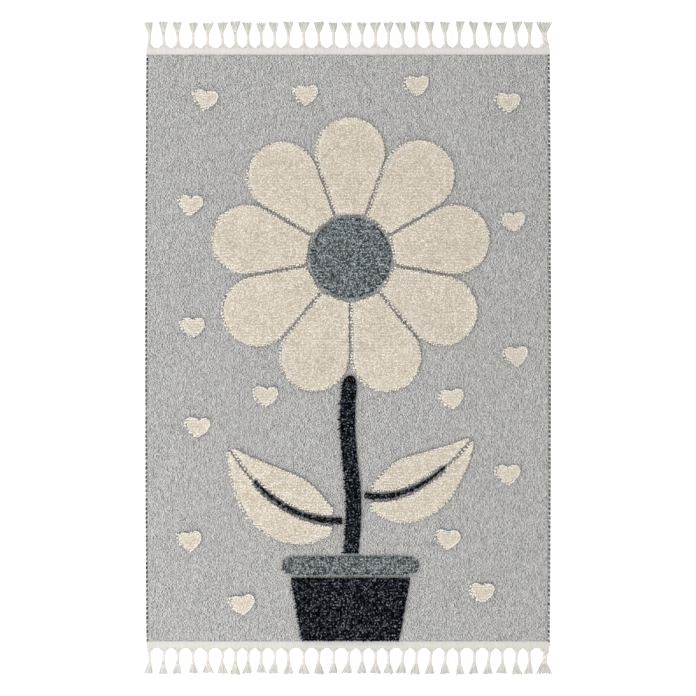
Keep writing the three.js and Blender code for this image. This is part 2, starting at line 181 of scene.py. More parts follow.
# Leaves: where each leaves the stem, the point that bends its midline, its tip and its greatest half width.
LEAVES = {
    "leaf_left": {"foot": (-17, -512), "bend": (-215, -520), "tip": (-354, -290), "half_width": 100},
    "leaf_right": {"foot": (49, -436), "bend": (205, -468), "tip": (376, -260), "half_width": 96},
}
RIB_SHARE = 0.74
RIB_HALF_WIDTH = 10
RIB_TIP_HALF_WIDTH = 4
RIB_CHANNEL = 5.6
BLADE_START = 0.07
BLADE_END = 0.975
LEAST_BLADE = 3

# Hearts: the middle of each, and its turn in degrees.
HEART_WIDTH = 74
HEART_HEIGHT = 60
HEART_FULLNESS = 1.8
HEART_RISE = 25.6
HEART_LIFT = 1.8
HEARTS = [
    (-421, 736, -8), (-125, 750, 2), (204, 777, 4), (474, 727, -3),
    (-466, 424, -6), (489, 374, 3), (-460, 62, 0), (498, -24, 5),
    (-445, -234, -4), (474, -374, 2), (-469, -572, 6), (397, -724, -2),
    (-312, -759, 7), (-243, -142, -5), (308, -150, 6), (296, -566, -4),
]

# Camera: straight above, as far off as shows this much of the floor.
PHOTO_PIXELS = 696
PIXEL = 2.966  # in millimetres
FRAME_WIDTH = PHOTO_PIXELS * PIXEL
LENS = 85
SENSOR = 36


def chance(index, kind):
    """A number from 0 to 1 that looks random: the fraction of a large multiple of a sine."""
    wave = np.sin(np.asarray(index) * 12.9898 + kind * 78.233) * 43758.5453
    return wave - np.floor(wave)


def between(low, high, share):
    return low + (high - low) * share


def side_x(y):
    """Half the rug's width at y: the mean half width, bowed by a parabola."""
    return RUG_WIDTH / 2 + SIDE_BOW * (0.5 - (2 * y / FIELD_LENGTH) ** 2)


# Shapes from arrays


def shape(points, faces, tone, tip):
    """A shape whose tone and tip are one number for each point, or the same all over."""
    count = len(points)
    return points, faces, np.broadcast_to(tone, count), np.broadcast_to(tip, count)


def joined(shapes):
    """Several shapes as one: their points in a row, their faces counted on from one to the next."""
    starts = np.cumsum([0] + [len(points) for points, *_ in shapes])
    points = np.concatenate([each[0] for each in shapes])
    faces = [block + start for each, start in zip(shapes, starts) for block in each[1]]
    tone = np.concatenate([each[2] for each in shapes])
    tip = np.concatenate([each[3] for each in shapes])
    return points, faces, tone, tip


def grid_faces(rows, columns):
    """The quads of a grid of points, counted along each row and then row by row."""
    corner = np.arange((rows - 1) * columns).reshape(rows - 1, columns)[:, :-1].reshape(-1, 1)
    return corner + np.array([0, 1, columns + 1, columns])


def skins(rings):
    """Closed skins over rings[strand, station, side]: a quad between each two neighbours along and around
    the strand, and a flat cap over its first and its last ring. The sides turn left as seen from its end."""
    strands, stations, sides, _ = rings.shape
    number = np.arange(strands * stations * sides).reshape(strands, stations, sides)
    here, ahead = number[:, :-1], number[:, 1:]
    walls = np.stack([here, np.roll(here, -1, 2), np.roll(ahead, -1, 2), ahead], axis=-1).reshape(-1, 4)
    return rings.reshape(-1, 3), [walls, number[:, 0, ::-1], number[:, -1]]


def unit(vectors):
    return vectors / np.linalg.norm(vectors, axis=-1, keepdims=True)


def tube_rings(paths, half_widths, half_heights, sides, beside):
    """Rings round paths[strand, station]. A ring is an ellipse across the path: its width lies along the
    direction beside, made square to the path, and its height along the third direction."""
    ahead = unit(np.gradient(paths, axis=1))
    across = unit(beside - (beside * ahead).sum(-1, keepdims=True) * ahead)
    up = np.cross(across, ahead)
    turn = 2 * math.pi * (np.arange(sides) + 0.5) / sides
    width = np.broadcast_to(half_widths, paths.shape[:2])[..., None, None]
    height = np.broadcast_to(half_heights, paths.shape[:2])[..., None, None]
    round_part = across[:, :, None] * width * np.cos(turn)[:, None]
    upright_part = up[:, :, None] * height * np.sin(turn)[:, None]
    return paths[:, :, None] + round_part - upright_part


def tubes(paths, half_widths, half_heights, sides, beside, tone, tip):
    """Tubes round paths, with tone and tip given for each strand and station."""
    points, faces = skins(tube_rings(paths, half_widths, half_heights, sides, np.array(beside)))
    spread = [np.broadcast_to(value, paths.shape[:2]).repeat(sides) for value in (tone, tip)]
    return shape(points, faces, *spread)


def new_object(name, data):
    made = bpy.data.objects.new(name, data)
    bpy.context.scene.collection.objects.link(made)
    return made


def make_piece(name, parts, slot, replaced, vectors=None):
    """Makes one object of a shape, with its material slot's finish and the solids that it stands for."""
    points, faces, tone, tip = parts
    sizes = np.concatenate([np.full(len(block), block.shape[1]) for block in faces])
    corners = np.concatenate([block.ravel() for block in faces])
    mesh = bpy.data.meshes.new(name)
    mesh.vertices.add(len(points))
    mesh.vertices.foreach_set("co", (points * MM).astype(np.float32).ravel())
    mesh.loops.add(len(corners))
    mesh.loops.foreach_set("vertex_index", corners.astype(np.int32))
    mesh.polygons.add(len(sizes))
    mesh.polygons.foreach_set("loop_start", (np.cumsum(sizes) - sizes).astype(np.int32))
    mesh.polygons.foreach_set("use_smooth", np.ones(len(sizes), bool))
    for label, values in (("tone", tone), ("tip", tip)):
        layer = mesh.attributes.new(label, "FLOAT", "POINT")
        layer.data.foreach_set("value", values.astype(np.float32))
    for label, values in (vectors or {}).items():
        layer = mesh.attributes.new(label, "FLOAT_VECTOR", "POINT")
        layer.data.foreach_set("vector", values.astype(np.float32).ravel())
    mesh.update(calc_edges=True)
    mesh.materials.append(FINISHES[slot])
    piece = new_object(name, mesh)
    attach(piece, "root")
    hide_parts(*replaced)
    return piece


# Ground


def ground_weave():
    """A grid over the ground, whose points drop by chance, and more so on every other point, as on a
    chessboard. Its first and last rows dip under the end bands. It closes over flat sides and a flat
    underside. Its tone is 1 along its sides, where its yarn is paler, and its tip is 1 along its ends, where
    it is darker. The vectors that come with it count the weave's columns and stitches."""
    columns = round((RUG_WIDTH - 2 * EDGE_YARN_WIDTH) / BUMP_PITCH)
    rows = round(FIELD_LENGTH / BUMP_PITCH)
    row, column = np.mgrid[0 : rows + 1, 0 : columns + 1]
    y = FIELD_LENGTH * (row / rows - 0.5)
    half = side_x(y) - EDGE_YARN_WIDTH - SEAM
    x = half * (2 * column / columns - 1)
    from_end = np.minimum(row, rows - row)
    drop = BUMP_DEPTH * (0.6 * random.random(x.shape) + 0.4 * ((row + column) % 2))
    z = np.where(from_end > 0, GROUND_THICKNESS - drop, BAND_THICKNESS - END_DIP)
    top = np.stack([x, y, z], -1).reshape(-1, 3)
    left, right = top[:: columns + 1] * (1, 1, 0), top[columns :: columns + 1] * (1, 1, 0)
    points = np.concatenate([top, left, right])

    under_left = len(top) + np.arange(rows + 1)
    under_right = under_left + rows + 1
    over_left = np.arange(rows + 1) * (columns + 1)
    over_right = over_left + columns

    def wall(lower, upper):
        return np.stack([lower[:-1], lower[1:], upper[1:], upper[:-1]], -1)

    walls = [wall(over_left, under_left), wall(under_left, under_right), wall(under_right, over_right)]
    near_end = np.concatenate([[under_left[0], under_right[0]], np.arange(columns, -1, -1)])
    far_end = np.concatenate([[under_right[-1], under_left[-1]], over_left[-1] + np.arange(columns + 1)])
    faces = [grid_faces(rows + 1, columns + 1), *walls, near_end[None], far_end[None]]

    from_side = np.minimum(column, columns - column)
    underside = np.zeros(2 * rows + 2)
    tone, tip = (np.concatenate([(each == 0).ravel(), underside]) for each in (from_side, from_end))
    stitches = points / (STITCH_WIDTH, STITCH_LENGTH, 1) + STITCH_START
    return shape(points, faces, tone, tip), stitches


def edge_wraps(side):
    """Yarn whipped over a long edge: a helix on an ellipse that runs along the bowed edge, round a bar. Most
    of its turns are dark, and the pale ones between them are narrower."""
    turns = FIELD_LENGTH / WRAP_PITCH
    step = np.arange(int(turns * WRAP_STEPS) + 1)
    angle = 2 * math.pi * step / WRAP_STEPS
    y = FIELD_LENGTH * (step / step[-1] - 0.5) * (1 - WRAP_PITCH / FIELD_LENGTH)
    middle = side_x(y) + (WRAP_PROUD - EDGE_YARN_WIDTH) / 2
    x = side * (middle + ((EDGE_YARN_WIDTH + WRAP_PROUD) / 2 - WRAP_HALF_THICKNESS) * np.cos(angle))
    z = EDGE_YARN_HEIGHT / 2 + (EDGE_YARN_HEIGHT / 2 - WRAP_HALF_THICKNESS) * np.sin(angle)
    path = np.stack([x, y, z], -1)[None]
    turn_number = step // WRAP_STEPS
    pale = turn_number % PALE_EVERY == PALE_EVERY - 1
    tone = np.abs(pale - TURN_SPREAD * chance(turn_number, 30 + side) ** 2)
    half_widths = WRAP_PITCH * between(*WRAP_HALF_WIDTHS, tone)
    wraps = tubes(path, half_widths, WRAP_HALF_THICKNESS, WRAP_SIDES, (0, 1, 0), tone, 0.5)

    y = np.linspace(-0.5, 0.5, 25) * (FIELD_LENGTH - 2 * WRAP_PITCH)
    x = side * (side_x(y) - EDGE_YARN_WIDTH / 2)
    line = np.stack([x, y, np.full_like(y, EDGE_YARN_HEIGHT / 2)], -1)[None]
    core = tubes(line, CORE_HALF_WIDTH, CORE_HALF_HEIGHT, 8, (1, 0, 0), 0, 0)
    return joined([wraps, core])


# End bands and tassels


def knot_x(i):
    """Where tassel number i is knotted: an even row with a slow wander that the first few don't share."""
    wander = (7 - 0.18 * i) * np.cos(2 * math.pi * (i - 4.5) / 9.8) - 1
    return TASSEL_ROW * (i / (TASSEL_COUNT - 1) - 0.5) + TASSEL_SHIFT + wander * np.minimum(i / 3, 1)


def root_x(i):
    return knot_x(i) + ROOT_SHIFT * (chance(i, 1) - 0.35)


def band(end):
    """A closed profile carried across the rug. Its top has the small bumps of a plain weave, a product of two
    cosines, and its outer edge follows each tassel out and draws back between them."""
    half = BAND_HALF_WIDTH + BAND_OVERHANG
    stations = np.linspace(-half, half, round(4 * half / BAND_YARN) + 1)
    from_root = np.abs(stations[:, None] - root_x(TASSELS)).min(1)
    flare = 1 / (1 + (from_root / FLARE_REACH) ** 2)
    corner = np.clip((half - np.abs(stations)) / BAND_CORNER, 0, 1)
    rounding = BAND_CORNER * (1 - np.sqrt(1 - (1 - corner) ** 2))
    outer = BAND_EDGE - BAND_ARCH + (BAND_ARCH + BAND_FLARE) * flare - rounding
    near = FIELD_LENGTH / 2 - BAND_LAP
    share = np.linspace(0, 1, BAND_POINTS)
    across = np.cos(math.pi * stations / BAND_YARN * 2)[:, None]
    bump = BAND_BUMP * across * np.cos(math.pi * np.arange(BAND_POINTS))
    fall = 1 - 0.75 * share**6
    x = np.broadcast_to(stations[:, None], bump.shape)
    y = between(near, outer[:, None], share)
    z = (BAND_THICKNESS - 0.4) * fall + bump * (1 - share**4)
    top = np.stack([x, y, z], -1)
    bottom = top[:, [-1, BAND_POINTS // 2, 0]] * (1, 1, 0) + (0, 0, 0.1)
    rings = np.concatenate([top, bottom], axis=1)
    rings[..., 1] *= end
    if end > 0:
        rings = rings[:, ::-1]
    points, faces = skins(rings[None])
    # Painted shade: the bottom band's tone is lower than the top's, against the stronger light at the bottom.
    tone = between(0.35, 0.53, chance(np.round(stations / BAND_YARN), 40)) + 0.08 * end
    return shape(points, faces, np.repeat(tone, rings.shape[1]), 0.6)


def band_stitches(end):
    """A row of short bright stitches along the seam between band and ground: small tubes, thick in the
    middle, that lie end to end and slant a little."""
    count = int(2 * BAND_HALF_WIDTH / SEAM_STITCH)
    middle = SEAM_STITCH * (np.arange(count) - (count - 1) / 2)
    along = np.linspace(-0.5, 0.5, 4)
    y = FIELD_LENGTH / 2 - BAND_LAP + 1.2 + 0.7 * along
    height = BAND_THICKNESS - 0.5 + 0.5 * np.cos(math.pi * along)
    ones = np.ones((count, 1))
    path = np.stack([middle[:, None] + SEAM_STITCH * 1.06 * along, end * y * ones, height * ones], -1)
    thick = 1.4 * np.cos(math.pi * 0.72 * along) + 0.1
    tone = between(0.6, 1, chance(np.arange(count), 41)[:, None])
    return tubes(path, thick, thick, 5, (0, 1, 0), tone, 0.9)


def neck_yarns(end):
    """The yarns of each tassel from the band to the knot. Each starts at its own place across the band's
    edge, and their spread falls off like a bell curve to the neck's, where they wind round each other."""
    along = np.concatenate([np.linspace(-6, 12, 8), np.linspace(16, 41, 8)])
    places = np.linspace(-1, 1, NECK_YARNS)
    start_turn = np.arccos(places) * np.where(np.arange(NECK_YARNS) % 2, 1, -1)
    twist = NECK_TWIST * math.pi * np.clip((along - 4) / 34, 0, 1) ** 1.2
    turn = start_turn[:, None] + twist
    bell = np.exp(-(((np.maximum(along, -2) + 2) / ROOT_FALL) ** 1.5))
    spread = NECK_HALF_WIDTH + ROOT_HALF_WIDTH * bell
    rise = 1.5 * np.clip((along + 3) / 9, 0.2, 1)
    out_of_band = np.clip((along + 6) / 12, 0, 1)
    i = TASSELS[:, None, None]
    last = i == TASSEL_COUNT - 1
    middle = between(root_x(i), knot_x(i), np.clip(along / NECK_LENGTH, -0.1, 1)) + DOUBLE_SHIFT * last
    widen = np.where(last, between(1, DOUBLE_NECK, out_of_band), 1)
    x = middle + widen * spread * np.cos(turn)
    x = np.where(along < 4, np.clip(x, YARN_RADIUS - BAND_HALF_WIDTH, BAND_HALF_WIDTH - YARN_RADIUS), x)
    y = end * (BAND_EDGE + along) + 0 * x
    z = between(2.4, 3.7, np.clip((along + 2) / 12, 0, 1)) + rise * np.sin(turn) + 0 * x
    path = np.stack([x, y, z], -1).reshape(-1, len(along), 3)
    yarn = np.arange(len(path))
    thick = YARN_RADIUS * between(0.85, 1, out_of_band)
    wide = thick * np.where(yarn // NECK_YARNS == TASSEL_COUNT - 1, DOUBLE_YARN, 1)[:, None]
    tone = between(0.45, 1, chance(yarn, 42)[:, None])
    return tubes(path, wide, thick, 5, (1, 0, 0), tone, 0.75)


def knots(end):
    """Nearly two turns of yarn round each neck, a helix on an ellipse that climbs along the tassel."""
    turn = np.linspace(-0.3, 3.3, 20) * math.pi
    i = TASSELS[:, None]
    last = i == TASSEL_COUNT - 1
    half_width = np.where(last, DOUBLE_NECK, 1) * KNOT_HALF_WIDTH
    x = knot_x(i) + DOUBLE_SHIFT * last + half_width * np.cos(turn)
    y = end * (BAND_EDGE + NECK_LENGTH - 1.4 + KNOT_CLIMB * turn / math.pi) + 0 * x
    z = KNOT_MIDDLE + KNOT_HALF_HEIGHT * np.sin(turn) + 0 * x
    path = np.stack([x, y, z], -1)
    tone = chance(TASSELS, 43)[:, None]
    return tubes(path, YARN_RADIUS, YARN_RADIUS, 6, (0, 1, 0), tone, 0.7)


def tuft_yarns(end):
    """The loose yarns past each knot, in two layers. They fan out to the tuft's width, crowd towards the
    middles of its locks, sway a little, and come down to the floor at their cut ends."""
    yarn = np.arange(TUFT_YARNS)
    upper = (yarn % 2)[:, None]
    places = 2 * (yarn + 0.5) / TUFT_YARNS - 1
    locks = LOCKS_IN_TUFT * math.pi
    crowd = 0.85 * np.sin(locks * (places - 1 + 1 / LOCKS_IN_TUFT)) / locks
    share = np.linspace(0, 1, 7)
    i = TASSELS[:, None, None]
    number = i * TUFT_YARNS + yarn[:, None]
    last = i == TASSEL_COUNT - 1
    width = np.where(last, DOUBLE_TUFT_WIDTH, TUFT_WIDTH * between(0.86, 1.1, chance(i, 2)))
    lean = np.where(last, END_LEAN, np.where(i == 0, -END_LEAN, TUFT_LEAN * (chance(i, 3) - 0.5)))
    reach = NECK_LENGTH + TUFT_LENGTH * between(0.93, 1.05, chance(i, 4))
    reach = reach + places[:, None] ** 2 - 3.4 * chance(number, 50) + 3 * (chance(number, 54) > 0.84)
    root_spread = NECK_HALF_WIDTH * np.where(last, DOUBLE_NECK, 1)
    fan = between(root_spread, width / 2 - 0.4, share**0.75) * (places + crowd)[:, None]
    sway = 0.9 * np.sin(2 * math.pi * (0.8 * share + chance(number, 51))) * share
    x = knot_x(i) + DOUBLE_SHIFT * last * (1 - share) + lean * share**1.3 + fan + sway
    y = end * (BAND_EDGE + between(NECK_LENGTH + 1, reach, share))
    z = between(between(3.2, 5.8, upper), between(1.4, 3.1, upper), share**0.8) + 0 * x
    z = z + 0.9 * np.sin(math.pi * share) * chance(number, 52)
    path = np.stack([x, y, z], -1).reshape(-1, len(share), 3)
    thick = TUFT_YARN_RADIUS * between(0.9, 1.08, share)
    tone = chance(np.arange(len(path)), 53)[:, None] ** 0.6
    # Painted shade towards the cut ends: their tip falls, so they take more of the root's shade colour.
    return tubes(path, thick, thick, 4, (1, 0, 0), tone, between(0.75, 0.3, share**2))


# Pile


def lump(x, y):
    """How far the cut top wanders up and down: a wave across the rug times one along it, both bent."""
    return PILE_LUMP * np.sin(x / 19 + 1.7 * np.sin(y / 33)) * np.cos(y / 23 - x / 61)


def pile_between(edge_a, edge_b, steps, clamp_share=0.1, end_steps=1, ease=None):
    """The outline between two edges, each a function from 0 to 1, and the inner point that each of its
    points faces. A blunt end is drawn in end_steps."""
    shares = np.linspace(0, 1, steps + 1)
    if ease is not None:
        shares = ease(shares)

    def facing(s):
        held = np.clip(s, clamp_share, 1 - clamp_share)
        return (edge_a(held) + edge_b(held)) / 2

    def end(start, stop, s):
        across = np.arange(1, end_steps)[:, None] / end_steps
        return between(start, stop, across), np.repeat(facing(s), end_steps - 1, axis=0)

    a, b, middle = edge_a(shares), edge_b(shares)[::-1], facing(shares)
    far_end, near_end = end(a[-1:], b[:1], shares[-1:]), end(b[-1:], a[:1], shares[:1])
    pairs = [(a, middle), far_end, (b, middle[::-1]), near_end]
    rim, spine = (np.concatenate(part) for part in zip(*pairs))
    apart = np.linalg.norm(np.roll(rim, -1, axis=0) - rim, axis=1) > SAME_POINT
    return rim[apart], spine[apart]


def turned(points, angle):
    """Points turned about the origin by an angle in radians."""
    cos, sin = math.cos(angle), math.sin(angle)
    return points @ np.array([[cos, sin], [-sin, cos]])


def heart_outline(x, y, turn):
    """Across is a power of a sine, and up is a sum of four cosines. The heart is then turned."""
    t = np.linspace(0, 2 * math.pi, 60, endpoint=False)
    rise = 13 * np.cos(t) - 3 * np.cos(2 * t) - 1.2 * np.cos(3 * t) - 0.4 * np.cos(4 * t)
    across = HEART_WIDTH / 2 * np.sign(np.sin(t)) * np.abs(np.sin(t)) ** HEART_FULLNESS
    points = np.stack([across, HEART_HEIGHT * (rise + HEART_LIFT) / HEART_RISE], -1)
    middle = np.array([x, y])
    rim = turned(points, math.radians(turn)) + middle
    return rim, np.broadcast_to(middle, rim.shape)


def petal_outline(number):
    """A wedge of the circle less a channel on each side, which ends in a round cap that meets both sides."""
    half_turn = math.pi / PETAL_COUNT
    reach = FLOWER_REACH + PETAL_WANDER * (chance(number, 20) - 0.5)
    cap_radius = (reach * math.sin(half_turn) - CHANNEL / 2) / (1 + math.sin(half_turn))
    cap_middle = reach - cap_radius
    cap_start = cap_middle - cap_radius * math.sin(half_turn)
    wedge_share = 0.4
    turn = math.pi / 2 + 2 * half_turn * (number - 1)

    def edge(side, share):
        in_cap = np.maximum(share - wedge_share, 0) / (1 - wedge_share)
        cap_turn = between(-half_turn, math.pi / 2, in_cap)
        in_wedge = share < wedge_share
        wedge_out = between(PETAL_START, cap_start, share / wedge_share)
        out = np.where(in_wedge, wedge_out, cap_middle + cap_radius * np.sin(cap_turn))
        wedge_half = wedge_out * math.tan(half_turn) - CHANNEL / 2 / math.cos(half_turn)
        across = np.where(in_wedge, wedge_half, cap_radius * np.cos(cap_turn))
        return turned(np.stack([out, side * across], -1), turn) + (PICTURE_X, FLOWER_Y)

    return pile_between(partial(edge, -1), partial(edge, 1), 40, clamp_share=0.25, end_steps=6)


def centre_outline():
    turn = np.linspace(0, 2 * math.pi, 72, endpoint=False)
    middle = np.array([PICTURE_X, FLOWER_Y])
    rim = CENTRE_RADIUS * np.stack([np.cos(turn), np.sin(turn)], -1) + middle
    return rim, np.broadcast_to(middle, rim.shape)


def stem_outline():
    """A strip that sways once to each side, and ends in half an ellipse."""
    foot = POT_TOP + CHANNEL
    length = STEM_TOP - foot

    def edge(side, share):
        left = (1 - share) * length
        half = STEM_HALF_WIDTH * np.sqrt(1 - np.maximum(1 - left / STEM_ROUND, 0) ** 2)
        x = PICTURE_X + STEM_SWAY * np.sin(2 * math.pi * share) + side * half
        return np.stack([x, foot + share * length], -1)

    def ease(s):
        return 0.4 * s + 0.6 * np.sin(math.pi / 2 * s)

    edges = partial(edge, 1), partial(edge, -1)
    return pile_between(*edges, 50, clamp_share=0.05, end_steps=4, ease=ease)


def rim_outline():
    """A bar whose ends are rounded by a high power of the place along it."""

    def edge(side, share):
        across = 2 * share - 1
        half = RIM_HEIGHT / 2 * (1 - np.abs(across) ** 14) ** 0.5
        return np.stack([PICTURE_X + RIM_HALF_WIDTH * across, POT_TOP - RIM_HEIGHT / 2 + side * half], -1)

    def ease(s):
        return between(s, 0.5 - 0.5 * np.cos(math.pi * s), 0.8)

    return pile_between(partial(edge, -1), partial(edge, 1), 50, clamp_share=0.07, ease=ease)


def pot_outline():
    """A straight-sided pot, narrower at its foot."""

    def edge(y, half, share):
        return np.stack([PICTURE_X + half * (2 * share - 1), y + 0 * share], -1)

    foot = partial(edge, POT_FOOT, POT_FOOT_HALF_WIDTH)
    top = partial(edge, POT_TOP - RIM_HEIGHT - CHANNEL, POT_TOP_HALF_WIDTH)
    return pile_between(foot, top, 20, clamp_share=0.25, end_steps=12)


def leaf_outlines(name, foot, bend, tip, half_width):
    """A leaf's rib and its two blades, each as far from a bent midline as the leaf's half width says: a sine
    of the place along it, drawn towards the foot and blunted by two powers."""
    foot, bend, tip = (np.array(point, float) for point in (foot, bend, tip))
    hand = math.copysign(1, tip[0])

    def beside(share, distance):
        s = share[:, None]
        point = (1 - s) ** 2 * foot + 2 * s * (1 - s) * bend + s**2 * tip
        tangent = unit((1 - s) * (bend - foot) + s * (tip - bend))
        across = np.stack([-tangent[:, 1], tangent[:, 0]], -1)
        return point + hand * across * distance[:, None]

    def rib_half(share):
        return between(RIB_HALF_WIDTH, RIB_TIP_HALF_WIDTH, share / RIB_SHARE)

    def rib_side(share):
        return np.where(share < RIB_SHARE, rib_half(share) + RIB_CHANNEL, CHANNEL / 2)

    def outer(side, s):
        share = between(BLADE_START, BLADE_END, s)
        leaf_half = half_width * np.sin(math.pi * share**0.86) ** 0.85
        return beside(share, side * np.maximum(leaf_half, rib_side(share) + LEAST_BLADE))

    def inner(side, s):
        share = between(BLADE_START, BLADE_END, s)
        return beside(share, side * rib_side(share))

    def rib(side, s):
        return beside(s * RIB_SHARE, side * rib_half(s * RIB_SHARE))

    return {
        f"{name}_upper": pile_between(partial(outer, 1), partial(inner, 1), 40),
        f"{name}_lower": pile_between(partial(outer, -1), partial(inner, -1), 40),
        f"{name}_rib": pile_between(partial(rib, 1), partial(rib, -1), 30, clamp_share=0.06),
    }


def inside(points, rim):
    """Whether each point lies in the outline: a line from it to the right crosses the outline an odd number
    of times."""
    a, b = rim, np.roll(rim, -1, axis=0)
    x, y = points[:, 0, None], points[:, 1, None]
    spans = (a[:, 1] > y) != (b[:, 1] > y)
    rise = np.where(b[:, 1] == a[:, 1], 1, b[:, 1] - a[:, 1])
    crossing = a[:, 0] + (y - a[:, 1]) * (b[:, 0] - a[:, 0]) / rise
    return (spans & (x < crossing)).sum(1) % 2 == 1


def to_rim(points, rim):
    """The shortest way from each point to the outline, as a vector."""
    a = rim
    edge = np.roll(rim, -1, axis=0) - a
    offset = points[:, None] - a
    share = np.clip((offset * edge).sum(-1) / (edge**2).sum(-1), 0, 1)
    ways = share[..., None] * edge - offset
    nearest = np.linalg.norm(ways, axis=-1).argmin(1)
    return ways[np.arange(len(points)), nearest]


def pile_bed(rim, spine):
    """What shows between the tufts of a pile area, with painted shade that is darkest at its sides and low
    down: rings from the ground up, each drawn in from the outline towards the inner points. The first and the
    last ring close on those."""
    reach = np.linalg.norm(rim - spine, axis=1)
    loops = [np.column_stack([spine, np.full(len(spine), PILE_FOOT)])]
    for height, inset in BED_RINGS:
        drawn_in = np.minimum(inset, MOST_INSET * reach) / reach
        ring = between(rim, spine, drawn_in[:, None])
        loops.append(np.column_stack([ring, np.full(len(ring), height)]))
    loops.append(np.column_stack([spine, BED_TOP + lump(*spine.T)]))
    points = np.concatenate(loops)
    count = len(rim)
    # Painted shade: the lower rings take the root's shade colour in full, the top ones in part.
    tip = np.repeat([0, 0, 0, 0.3, BED_TIP, BED_TIP], count)
    here = np.arange((len(loops) - 1) * count).reshape(-1, count)
    beside = np.roll(here, -1, 1)
    quads = np.stack([here, beside, beside + count, here + count], -1).reshape(-1, 4)
    triangles = np.concatenate([quads[:, :3], quads[:, [0, 2, 3]]])
    _, first, welded = np.unique(np.round(points, 3), axis=0, return_index=True, return_inverse=True)
    triangles = welded.ravel()[triangles]
    a, b, c = triangles.T
    triangles = triangles[(a != b) & (b != c) & (c != a)]
    points = points[first]
    corners = points[triangles]
    volume = (corners[:, 0] * np.cross(corners[:, 1], corners[:, 2])).sum()
    if volume < 0:
        triangles = triangles[:, ::-1]
    return shape(points, [triangles], 0.5, tip[first])


def rim_feet(rim):
    """Points spaced evenly along the outline, each drawn in square to it by a chance amount."""
    edge = np.roll(rim, -1, axis=0) - rim
    lengths = np.linalg.norm(edge, axis=1)
    ends = np.cumsum(lengths)
    count = round(ends[-1] / RIM_PITCH)
    at = ends[-1] * (np.arange(count) + 0.5) / count
    index = np.searchsorted(ends, at)
    share = (at - ends[index]) / lengths[index] + 1
    hand = np.sign((rim[:, 0] * edge[:, 1] - rim[:, 1] * edge[:, 0]).sum())
    outwards = hand * unit(np.column_stack([edge[:, 1], -edge[:, 0]]))
    inset = random.uniform(*RIM_INSET, (count, 1))
    return rim[index] + share[:, None] * edge[index] - inset * outwards[index]


def tuft_feet(rim):
    """Where the tufts of an area stand: an edging along its outline, and then the rest, on a brick grid that
    all areas share. Also whether each is in the edging."""
    low, high = rim.min(0), rim.max(0)
    pitch_x, pitch_y = TUFT_PITCH
    rows = np.arange(math.floor(low[1] / pitch_y), math.ceil(high[1] / pitch_y) + 1)
    columns = np.arange(math.floor(low[0] / pitch_x) - 1, math.ceil(high[0] / pitch_x) + 1)
    row, column = (part.ravel() for part in np.meshgrid(rows, columns, indexing="ij"))
    grid = np.column_stack([(column + 0.5 * (row % 2)) * pitch_x, row * pitch_y])
    grid = grid + random.uniform(-GRID_CHANCE, GRID_CHANCE, grid.shape)
    grid = grid[inside(grid, rim)]
    grid = grid[np.linalg.norm(to_rim(grid, rim), axis=1) > GRID_INSET]
    edging = rim_feet(rim)
    edging = edging[inside(edging, rim)]
    edging = edging[np.linalg.norm(to_rim(edging, rim), axis=1) > LEAST_INSET]
    feet = np.concatenate([edging, grid])
    return feet, np.arange(len(feet)) < len(edging)


def shafts(feet, lean, foot_z, top_z):
    """A square shaft over each foot, turned and sized by chance, that leans so far and widens to its top."""
    count = len(feet)
    turn = random.uniform(0, math.pi / 2, count)[:, None] + math.pi / 2 * np.arange(4)
    around = np.stack([np.cos(turn), np.sin(turn)], -1)
    size = random.uniform(0.85, 1.15, count)[:, None, None]
    foot = feet[:, None] + TUFT_FOOT * size * around
    top = feet[:, None] + lean[:, None] + TUFT_TOP * size * around
    tilt = TUFT_TILT * (around * unit(lean + 1e-6)[:, None]).sum(-1)
    foot_rings = np.concatenate([foot, np.broadcast_to(foot_z[:, None, None], (count, 4, 1))], -1)
    top_rings = np.concatenate([top, (top_z[:, None] - tilt)[..., None]], -1)
    return skins(np.stack([foot_rings, top_rings], 1))


